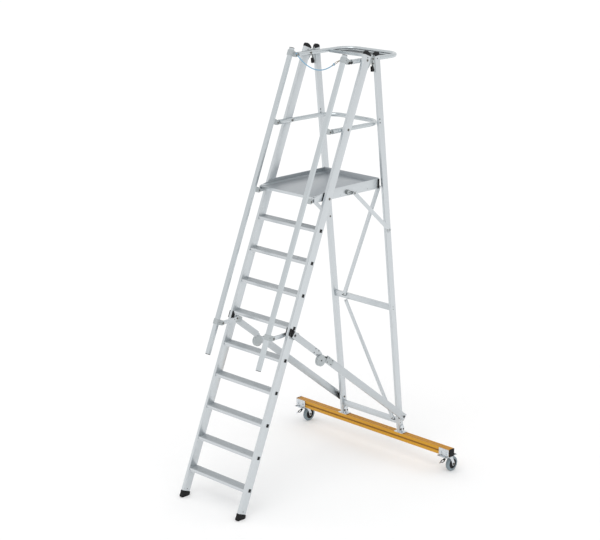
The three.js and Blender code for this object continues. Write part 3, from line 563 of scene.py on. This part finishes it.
# -------------------------------------------------------------- platform bits
pb = Batch("platform_bolts", "platform", "bolt", "zinc_steel")
pp = Batch("platform_strips", "platform", "black", "black_plastic")
pk = Batch("platform_knobs", "platform", "cast", "satin_aluminium")
for sd, sx in SIDES:
    a, b = sorted((sx * 304.4, sx * 309.6))
    pp.prism([(812, 2357), (826, 2357), (848, 2421), (834, 2422)], a, b, "YZ", 0.8)
    pp.prism([(1452, 2357), (1465.5, 2357), (1465.5, 2434), (1452, 2434)], a, b, "YZ", 0.8)
    pk.lathe((sx * 326, 1093, 2387), (sx, 0, 0), [(0, -0.4), (17, -0.3), (17, 1.5), (14, 3.2), (7, 3.6), (0, 3.6)], 28)
    for i in range(14):
        t = 2 * math.pi * i / 14
        pk.lathe((sx * 315, 1093 + 17.4 * math.cos(t), 2387 + 17.4 * math.sin(t)), (sx, 0, 0), [(0, -8.5), (1.8, -8), (1.8, 8), (0, 8.5)], 8)
    a, b = sorted((sx * 318, sx * 323))
    pk.bar((1100, 2385.5), (1141, 2376), a, b, 4.6, 0.8)
    pb.lathe((sx * 329.4, 1093, 2387), (sx, 0, 0), [(0, -0.3), (4.2, 0), (4.2, 1.8), (0, 2.2)], 16)
    for yy in (900, 1020, 1200, 1330, 1440):
        pb.bolt((sx * 304.6, yy, 2374), (sx, 0, 0), 2.8, 1.4, washer=False)
    for yy in (900, 1020, 1200, 1330, 1440):
        pb.bolt((sx * 300.0, yy, 2418), (-sx, 0, 0), 2.4, 1.0, washer=False)
for b in (pb, pp, pk):
    b.make()
ledge = Batch("platform_ledges", "platform", "alu_y", "satin_aluminium")
for sd, sx in SIDES:
    a, b = sorted((sx * 276, sx * 299.6))
    ledge.prism([(a, 2400.2), (b, 2400.2), (b, 2407), (b - 3 if sx > 0 else b, 2407), (a, 2402.4 if sx > 0 else 2407), ] if sx > 0 else [(a, 2400.2), (b, 2400.2), (b, 2402.4), (a + 3, 2407), (a, 2407)], 742, 1462, "XZ", 0.3)
ledge.make()

# ------------------------------------------------------ handrail end plugs
hp = Batch("handrail_plugs", "handrails", "black", "black_plastic")
hb = Batch("clamp_bolts", "handrails", "bolt", "zinc_steel")
hc = Batch("clamp_bosses", "handrails", "cast", "satin_aluminium")
for sd, sx in SIDES:
    for s, d in ((3407.1, 1), (914.9, -1)):
        a, b = sorted((sx * (RAIL_X - 19.4), sx * (RAIL_X + 19.4)))
        s0, s1 = sorted((s, s + d * 4.2))
        hp.slab(s0, s1, -219.8, -200.2, a, b, 1.3)
    for key in ("link", "plat", "mid", "top"):
        q = pin(PIV[key])
        for e in (-1, 1):
            hb.bolt((sx * RAIL_X + e * 10.6, *q), (e, 0, 0), 5.4, 3.4, kind="hex" if e * sx < 0 else "dome", washer=True)
        s = q[0] * TY + (q[1] - FIRST) * TZ
        # clamping screws on the outside of each sleeve
        if key in ("plat", "mid"):
            continue
        for e in (-1, 1):
            hb.bolt((sx * RAIL_X + e * 24, *P(s, -206)), (e, 0, 0), 3.6, 2.2, washer=False)
            hc.lathe((sx * RAIL_X + e * 23.6, *P(s, -206)), (e, 0, 0), [(0, -0.3), (7, 0), (6.2, 0.9), (0, 0.9)], 20)
        a, b = sorted((sx * (RAIL_X - 10.5), sx * (RAIL_X + 10.5)))
        hc.slab(s - 16, s + 16, -197.5, -193.5, a, b, 1.4)
for b in (hp, hb, hc):
    b.make()


# --------------------------------------------------------------- guard rails
def rail_path(key, y_rear, R, X=291.0, ahead=34.0):
    q = pin(PIV[key])
    z = (q[1] + PIV[key][1]) / 2
    y0 = q[0] + ahead
    pts = [(-X, y0 + (y_rear - R - y0) * i / 12, z) for i in range(13)]
    n = 18
    for i in range(1, n + 1):
        t = math.pi - math.pi / 2 * i / n
        pts.append((-X + R + R * math.cos(t), y_rear - R + R * math.sin(t), z))
    for i in range(1, 8):
        pts.append((-X + R + (2 * X - 2 * R) * i / 8, y_rear, z))
    for i in range(0, n + 1):
        t = math.pi / 2 - math.pi / 2 * i / n
        pts.append((X - R + R * math.cos(t), y_rear - R + R * math.sin(t), z))
    pts += [(X, y_rear - R + (y0 - y_rear + R) * i / 12, z) for i in range(1, 13)]
    return pts


for key, body, node, yr, R in (("mid", "mid_rail", "mid_rail", 1515, 150), ("top", "top_rail", "top_rail", 1722, 130)):
    t = Batch(f"{node}_tube", body, "alu_tube", "satin_aluminium")
    t.sweep(rail_path(key, yr, R), 17.5, 28)
    q = pin(PIV[key])
    z = (q[1] + PIV[key][1]) / 2
    for sd, sx in SIDES:
        # fork arm: flat tongue that flows into the sleeve round the tube
        a, b = sorted((sx * (RAIL_X - 6), sx * (RAIL_X + 6)))
        pts = []
        for i in range(9):
            ang = math.pi / 2 + math.pi * i / 8
            pts.append((q[0] + 15.5 * math.cos(ang), q[1] + 13 * math.sin(ang)))
        pts = pts + [(q[0] + 32, q[1] - 13), (q[0] + 32, q[1] + 13)]
        t.prism(pts, a, b, "YZ", 1.0)
        run = PIV[key][0] + 8 - q[0] - 27
        t.lathe((sx * 291, q[0] + 27, z), (0, 1, 0), [(0, 0), (18.5, 0), (19.2, 0.8), (19.2, run - 0.8), (18.6, run), (17.0, run)], 32)
    o = t.make()
    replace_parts(o, node)
    # stile pivots: spacer and bolt through the sleeve, ring at its end
    d = Batch(f"{node}_spacers", body, "cast", "satin_aluminium")
    e = Batch(f"{node}_bolts", body, "bolt", "zinc_steel")
    g = Batch(f"{node}_rings", body, ["cast", "black"], "black_plastic")
    for sd, sx in SIDES:
        yp, zp = PIV[key]
        d.lathe((sx * 306, yp, z), (sx, 0, 0), [(0, -4), (9.5, -4), (9.5, 5.2), (0, 5.2)], 20)
        e.bolt((sx * 271.9, yp, z), (-sx, 0, 0), 6, 3.6)
        g.lathe((sx * 291, q[0] + 22.5, z), (0, 1, 0), [(0, 0), (18.2, 0), (19.3, 0.9), (19.3, 4.4), (18.6, 5.2), (0, 5.2)], 32)
        g.lathe((sx * 291, yp + 8, z), (0, 1, 0), [(17.3, -0.4), (18.5, -0.3), (18.5, 0.9), (17.3, 1.1)], 32)
    d.make(); e.make()
    if key == "top":                               # dark blocks at the top rail's right end: painted shade of the gap between the fork lugs
        g.box(292.6, q[0] + 4, z - 14, 297.0, q[0] + 50, z - 2, 0.8)
        g.box(RAIL_X + 10.9, q[0] - 14, z - 13, RAIL_X + 17.5, q[0] + 46, z - 3, 0.8)
    o = g.make()
    # at the top rail's right end, lower faces off the tube's surface turn black: painted shade of the fork gap
    for p in o.data.polygons:
        c = p.center
        if key == "top" and c.z * 1000 < z - 1.5 and c.x > 0.28 and abs(math.hypot(c.x * 1000 - 291, c.z * 1000 - z) - 18.8) > 1.6:
            p.material_index = 1

# tray: dark lining
tl = Batch("tray_lining", "top_rail", "mat", "black_plastic")
zt = (PIV["top"][1] + pin(PIV["top"])[1]) / 2


def tray_ring(xi, y0, y1, R, n=10):
    out = [(-xi, y0), (xi, y0)]
    for i in range(n + 1):
        a = math.pi / 2 * i / n
        out.append((xi - R + R * math.cos(a), y1 - R + R * math.sin(a)))
    for i in range(n + 1):
        a = math.pi / 2 + math.pi / 2 * i / n
        out.append((-xi + R + R * math.cos(a), y1 - R + R * math.sin(a)))
    return out


ro = tray_ring(270.4, 1491.4, 1698.4, 110)
tl.prism(ro, zt - 13.2, zt - 11.4, "XY", 0.4)
tl.make()

# --------------------------------------------------------- lower link bits
lb = Batch("lower_link_bolts", "lower_links", "bolt", "zinc_steel")
for sd, sx in SIDES:
    y, z = PIV["link"]
    lb.bolt((sx * 281, y, z), (-sx, 0, 0), 6.2, 4.0)
    lb.bolt((sx * 281, y - 30, z - 1), (-sx, 0, 0), 3.8, 2.2, washer=False)
lb.make()

# ------------------------------------------------------------ strut end bits
sb = Batch("strut_bolts", "struts", "bolt", "zinc_steel")
for sd, sx in SIDES:
    for q in ((1143.6, 2375.1), (1555.0, 2006.0)):
        sb.lathe((sx * 343.9, *q), (sx, 0, 0), [(0, -0.2), (10.2, 0), (10.2, 1.4), (0, 1.4)], 24)
        sb.lathe((sx * 348.2, *q), (sx, 0, 0), [(0, -0.3), (5.2, 0), (4.4, 1.6), (2.4, 2.0), (2.2, 0.8), (0, 0.8)], 20)
    sb.bolt((sx * 344, 1532, 2012), (sx, 0, 0), 3.6, 2.0, washer=False)
sb.make()

# ------------------------------------------------------------- spreader bits
A, K, B = Vector((475, 1362.5)), Vector((750.6, 1098.4)), Vector((1740, 370))
us = Batch("spreader_upper_discs", "spreader_upper", "alu_spread", "satin_aluminium")
ub = Batch("spreader_upper_rivets", "spreader_upper", "rivet", "zinc_steel")
ls = Batch("spreader_lower_discs", "spreader_lower", "cast", "satin_aluminium")
lr = Batch("spreader_lower_rivets", "spreader_lower", "rivet", "zinc_steel")
lk = Batch("spreader_slot_shade", "spreader_lower", "dark", "black_plastic")
SD = (B - A).normalized()
SN = Vector((-SD.y, SD.x))
SL = (B - A).length


def spr(f, g):
    return tuple(A + SD * f + SN * g)


for sd, sx in SIDES:
    # upper plate: it lies on the bar's outer face and runs into the knuckle
    xo = HALF_W + 19.0
    a, b = sorted((sx * (xo - 0.2), sx * (xo + 1.1)))
    us.prism([spr(262, -20), spr(330, -22), spr(330, 22), spr(262, 20)], a, b, "YZ", 0.5)
    for f, g in ((276, 16.5), (276, -16.5), (316, 17), (316, -17)):
        ub.bolt((sx * (xo + 0.9), *spr(f, g)), (sx, 0, 0), 5.0, 1.8, washer=False)
    ub.bolt((sx * (HALF_W + 19.0), *A), (sx, 0, 0), 7.4, 4.6)
    ub.lathe((sx * (HALF_W + 9), *A), (sx, 0, 0), [(0, -8.4), (12, -8.4), (12, 0), (0, 0)], 20)
    # lower disc: raised rim, dished web, centre rivet
    zf = HALF_W + 32
    ls.lathe((sx * zf, *K), (sx, 0, 0), [(0, -0.5), (9, -0.5), (9, 1.6), (37, 1.0), (39.4, 3.0), (45.2, 3.0), (46.8, 1.2), (46.9, -0.6)], 56)
    lr.bolt((sx * (zf + 1.2), *K), (sx, 0, 0), 5.2, 2.6, washer=False)
    xb = HALF_W + 35
    a, b = sorted((sx * (xb - 0.2), sx * (xb + 2.4)))
    ls.prism([spr(424, -27), spr(466, -26), spr(508, -24), spr(512, -18), spr(512, 14), spr(508, 20), spr(436, 22), spr(424, 18)], a, b, "YZ", 0.8)
    a, b = sorted((sx * (zf - 8), sx * (zf + 1.2)))
    ls.prism([spr(386, 8), spr(402, -80), spr(428, -29), spr(430, 20)], a, b, "YZ", 0.8)
    for f, g in ((443, 16), (443, -20.5), (494, 15), (494, -19)):
        lr.bolt((sx * (xb + 2.2), *spr(f, g)), (sx, 0, 0), 5.0, 1.8, washer=False)
    lr.bolt((sx * (xb + 0.2), *B), (sx, 0, 0), 7.4, 4.6)
    # near-black plate on the disc where the slot is: painted shade in the slot
    a, b = sorted((sx * (zf + 0.8), sx * (zf + 4.2)))
    lk.prism([spr(396, -2), spr(400, 8), spr(426, 14), spr(426, 4)], a, b, "YZ", 0.6)
for b in (us, ub, ls, lr, lk):
    b.make()

# ------------------------------------------------------------------- casters
AX_Y, AX_Z = 1820.8, 62.5 * math.cos(math.pi / 36)
for sd, sx in SIDES:
    cx = sx * 828.3
    ty = Batch(f"tyre_{sd}", f"caster_wheel_{sd}", "tyre", "grey_tyre")
    prof = [(42, -14.2), (43.5, -15.8), (47, -16), (54, -15.4), (58.8, -12.6), (61.4, -8.6), (62.1, -4.4), (62.26, 0), (62.1, 4.4), (61.4, 8.6), (58.8, 12.6), (54, 15.4), (47, 16), (43.5, 15.8), (42, 14.2), (42, -14.2)]
    ty.lathe((cx, AX_Y, AX_Z), (1, 0, 0), prof, 72)
    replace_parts(ty.make(), f"caster_wheel_{sd}")
    hu = Batch(f"hub_{sd}", f"caster_wheel_{sd}", "hub", "black_plastic")
    hu.lathe((cx, AX_Y, AX_Z), (1, 0, 0), [(6.7, -14.6), (15, -14.6), (16.4, -13), (17, -8.6), (35, -8.2), (38, -13.4), (42.1, -14.4), (42.1, 14.4), (38, 13.4), (35, 8.2), (17, 8.6), (16.4, 13), (15, 14.6), (6.7, 14.6), (6.7, -14.6)], 60)
    for i in range(8):                             # spokes moulded on both faces
        t = 2 * math.pi * i / 8
        for e in (-1, 1):
            c0, c1 = Vector((AX_Y + 16 * math.cos(t), AX_Z + 16 * math.sin(t))), Vector((AX_Y + 36.5 * math.cos(t), AX_Z + 36.5 * math.sin(t)))
            a, b = sorted((cx + e * 7.8, cx + e * 11.6))
            hu.bar(tuple(c0), tuple(c1), a, b, 1.6, 0.5)
    hu.make()
    ft = Batch(f"fork_bits_{sd}", f"caster_fork_{sd}", "bolt", "zinc_steel")
    for e in (-1, 1):
        ft.lathe((cx + e * 23, AX_Y, AX_Z), (e, 0, 0), [(0, -0.3), (11, -0.2), (11, 1.4), (0, 1.4)], 24)
        ft.lathe((cx + e * 24.2, AX_Y, AX_Z), (e, 0, 0), [(0, -0.3), (8.4, 0), (8.4, 5.4), (7.2, 6.6), (0, 6.6)], 6)
        ft.lathe((cx + e * 30.6, AX_Y, AX_Z), (e, 0, 0), [(0, -0.3), (4.2, 0), (4.2, 2.6), (0, 3.4)], 14)
        ft.lathe((cx + e * 17.2, AX_Y, AX_Z), (e, 0, 0), [(6.1, -1), (9, -1), (9, 2.2), (6.1, 2.2)], 20)
    ft.lathe((cx, 1775, 141.2), (0, 0, 1), [(24, -6.6), (29.6, -6.2), (31.4, -3), (31.4, 1), (29.4, 3.2), (24, 3.4)], 40)
    ft.make()
    bk = Batch(f"pedal_{sd}", f"brake_pedal_{sd}", "black", "black_plastic")
    def rr(t):
        c, d = math.cos(t), math.sin(t)
        k = (abs(c) ** 4 + abs(d) ** 4) ** -0.25
        return (cx + 12.6 * c * k, 1707 + 14.0 * d * k, 113.0 + 5.4 * d * k)
    bk.sweep([rr(2 * math.pi * i / 48) for i in range(49)], 3.6, 12, caps=False)
    bk.prism([(1719, 114.6), (1726, 117.6), (1744, 128.4), (1744, 133.8), (1738, 133.8), (1722, 123.6), (1717, 120.8)], cx - 10, cx + 10, "YZ", 1.2)
    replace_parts(bk.make(), f"brake_pedal_{sd}")
    bt = Batch(f"pedal_plate_{sd}", f"brake_pedal_{sd}", "zinc", "zinc_steel")
    bt.prism([(1668, 102.6), (1692, 105.4), (1692, 107.6), (1668, 104.2)], cx - 11, cx + 4, "YZ", 0.4)
    bt.make()

# ---------------------------------------------------------------------- rope
raw = []
for i in range(25):
    x = -256 + 426 * i / 24
    raw.append(Vector((x, 1102 - 0.0687 * (x + 262), 3309.1 + 0.0618 * x + 0.0016759 * x * x)))


def spline(pts, per=10):
    out = []
    for i in range(len(pts) - 1):
        p0, p1, p2, p3 = pts[max(0, i - 1)], pts[i], pts[i + 1], pts[min(len(pts) - 1, i + 2)]
        for j in range(per):
            t = j / per
            out.append(0.5 * ((2 * p1) + (p2 - p0) * t + (2 * p0 - 5 * p1 + 4 * p2 - p3) * t * t + (3 * p1 - p0 - 3 * p2 + p3) * t ** 3))
    out.append(pts[-1])
    return out


line = spline(raw, 12)
rope = Batch("rope_line", "handrails", "rope", "blue_rope")
N = 14
verts, faces, prev, run = [], [], None, 0.0
for i, p in enumerate(line):
    a, b = line[max(0, i - 1)], line[min(len(line) - 1, i + 1)]
    w = (b - a).normalized()
    if prev is None:
        u, v, _ = basis_of(w)
    else:
        u = (prev - w * prev.dot(w)).normalized()
        v = w.cross(u)
    prev = u
    if i:
        run += (p - line[i - 1]).length
    for k in range(N):
        t = 2 * math.pi * k / N
        braid = max(math.cos(3 * t + run * 0.9), math.cos(3 * t - run * 0.9))
        r = 4.1 + 0.3 * braid
        verts.append(p + u * (r * math.cos(t)) + v * (r * math.sin(t)))
for i in range(len(line) - 1):
    for k in range(N):
        j = (k + 1) % N
        faces.append((i * N + k, i * N + j, (i + 1) * N + j, (i + 1) * N + k))
faces.append(tuple(range(N))[::-1]); e = (len(line) - 1) * N; faces.append(tuple(range(e, e + N)))
rope.faces(verts, faces)
rope_obj = rope.make()
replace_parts(rope_obj, "safety_rope")


def loop(c, r, axis, start, n=22, span=1.8 * math.pi):
    u, v, w = basis_of(axis)
    return [Vector(c) + u * (r * math.cos(start + span * i / n)) + v * (r * math.sin(start + span * i / n)) for i in range(n + 1)]


eyes = Batch("rope_eyes", "handrails", "rope", "blue_rope")
fer = Batch("rope_ferrules", "handrails", "hook", "zinc_steel")
d0 = (line[6] - line[0]).normalized()
d1 = (line[-7] - line[-1]).normalized()
for end, d, r in ((line[0], d0, 6.0), (line[-1], d1, 9.0)):
    c = end - d * r
    v = Vector((0, 0, 1)) - d * d.z
    v.normalize()
    eyes.sweep([c + d * (r * math.cos(t)) + v * (r * 0.8 * math.sin(t)) for t in [math.pi * 2 * i / 28 for i in range(29)]], 3.2, 10, caps=False)
    fer.sweep([end + d * (1 + i * 1.6) for i in range(9)], lambda t: 5.0 if 0.1 < t < 0.9 else 4.3, 16)
eyes_obj, fer_obj = eyes.make(), fer.make()
hook = Batch("hook_snap", "handrails", "hook", "zinc_steel")
h0 = line[-1] - d1 * 10
h1 = Vector((262.0, 1069.5, 3423.5))
ax = (h1 - h0).normalized()
sidev = ax.cross(Vector((0, 1, 0))).normalized()
hm, hl = h0 + ax * 27, 27
hook.sweep([hm + ax * (hl * math.cos(t)) + sidev * (5.6 * math.sin(t)) for t in [2 * math.pi * i / 40 for i in range(41)]], 2.3, 10, caps=False)
hook.sweep([hm + ax * (hl - 3 + i * ((h1 - h0).length - 2 * hl + 3) / 8) for i in range(9)], lambda t: 4.6 if t < 0.35 else 3.0, 14)
hook_obj = hook.make()
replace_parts(hook_obj, "rope_hook")

# ------------------------------------------------------------ floor and light
me = bpy.data.meshes.new("floor")
me.from_pydata([(-150, -150, 0), (150, -150, 0), (150, 150, 0), (-150, 150, 0)], [], [(0, 1, 2, 3)])
floor = bpy.data.objects.new("floor", me)
bpy.context.scene.collection.objects.link(floor)
fm = bpy.data.materials.new("pale_floor")
fm.use_nodes = True
fp = fm.node_tree.nodes["Principled BSDF"]
fp.inputs["Base Color"].default_value = (0.97, 0.97, 0.97, 1)
fp.inputs["Roughness"].default_value = 0.9
fp.inputs["Specular IOR Level"].default_value = 0.1
me.materials.append(fm)

world = bpy.data.worlds.new("studio")
bpy.context.scene.world = world
world.use_nodes = True
world.node_tree.nodes["Background"].inputs[0].default_value = (1, 1, 1, 1)
world.node_tree.nodes["Background"].inputs[1].default_value = 0.92


def sun(name, az, el, strength, angle):
    light = bpy.data.lights.new(name, "SUN")
    light.energy, light.angle = strength, math.radians(angle)
    o = bpy.data.objects.new(name, light)
    bpy.context.scene.collection.objects.link(o)
    a, e = math.radians(az), math.radians(el)
    d = Vector((math.sin(a) * math.cos(e), -math.cos(a) * math.cos(e), math.sin(e)))
    o.rotation_mode = "QUATERNION"
    o.rotation_quaternion = (-d).to_track_quat("-Z", "Y")


sun("key", 20, 52, 0.55, 40)
sun("fill", 85, 30, 0.12, 45)
